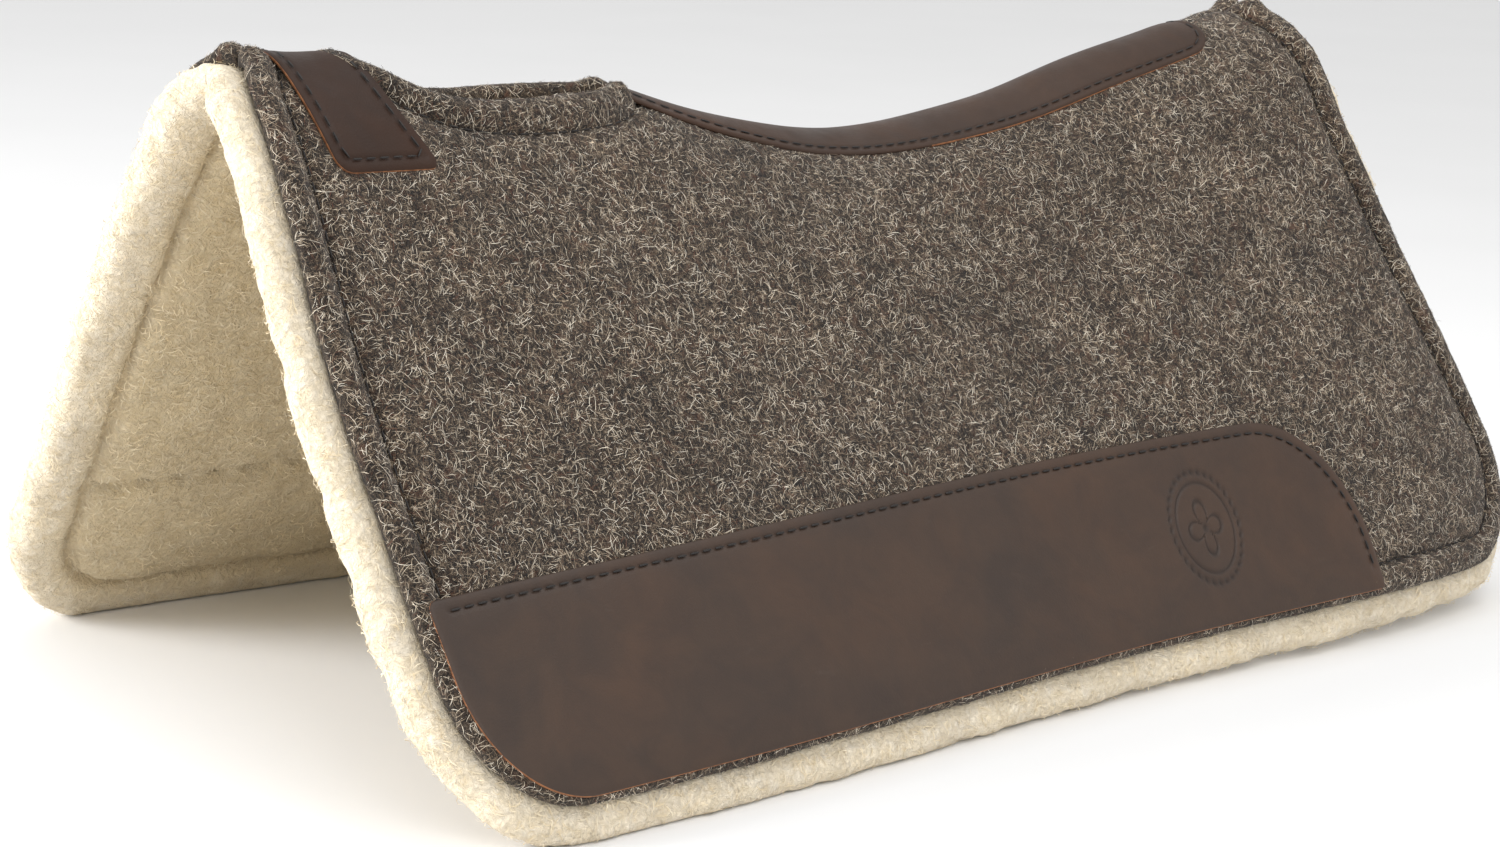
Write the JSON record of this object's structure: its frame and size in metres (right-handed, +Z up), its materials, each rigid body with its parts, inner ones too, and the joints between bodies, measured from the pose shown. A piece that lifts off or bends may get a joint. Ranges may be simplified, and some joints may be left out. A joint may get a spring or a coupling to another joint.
{
  "type": "saddle pad",
  "caption": "Contoured western saddle pad: grey-brown wool felt over a fleece liner, with leather wear patches, spine strip and wither strap, standing on its two flaps.",
  "frame": {"origin": "on the ground under the middle of the standing pad", "axes": "+X towards the rear of the pad (the horse's loins), -X the withers, +Y to the right flap, +Z up"},
  "size_m": [0.8554, 0.4868, 0.349],
  "materials": {
    "felt": "matte heathered wool felt",
    "insert_felt": "matte pressed felt",
    "fleece": "soft short pile",
    "leather": "oiled pull-up leather, satin",
    "thread": "waxed thread"
  },
  "bodies": {
    "left_half": {"felt_top_left": "felt", "felt_insert_left": "insert_felt", "fleece_liner_left": "fleece", "wear_leather_left": "leather", "edge_stitching_left": "thread", "wear_leather_stitching_left": "thread", "wither_leather_stitching_left": "thread", "spine_leather_stitching_left": "thread", "spine_leather": "leather", "wither_leather": "leather"},
    "right_half": {"felt_top_right": "felt", "felt_insert_right": "insert_felt", "fleece_liner_right": "fleece", "wear_leather_right": "leather", "edge_stitching_right": "thread", "wear_leather_stitching_right": "thread", "wither_leather_stitching_right": "thread", "spine_leather_stitching_right": "thread"}
  },
  "joints": [
    {"name": "spine_fold", "type": "hinge", "parent": "left_half", "child": "right_half", "pos_m": [0, 0, 0.275], "axis": [-1, 0, 0], "range_deg": [0, 24], "stiffness_Nm_per_rad": 1.5, "deforming": ["spine_leather", "wither_leather"]}
  ]
}
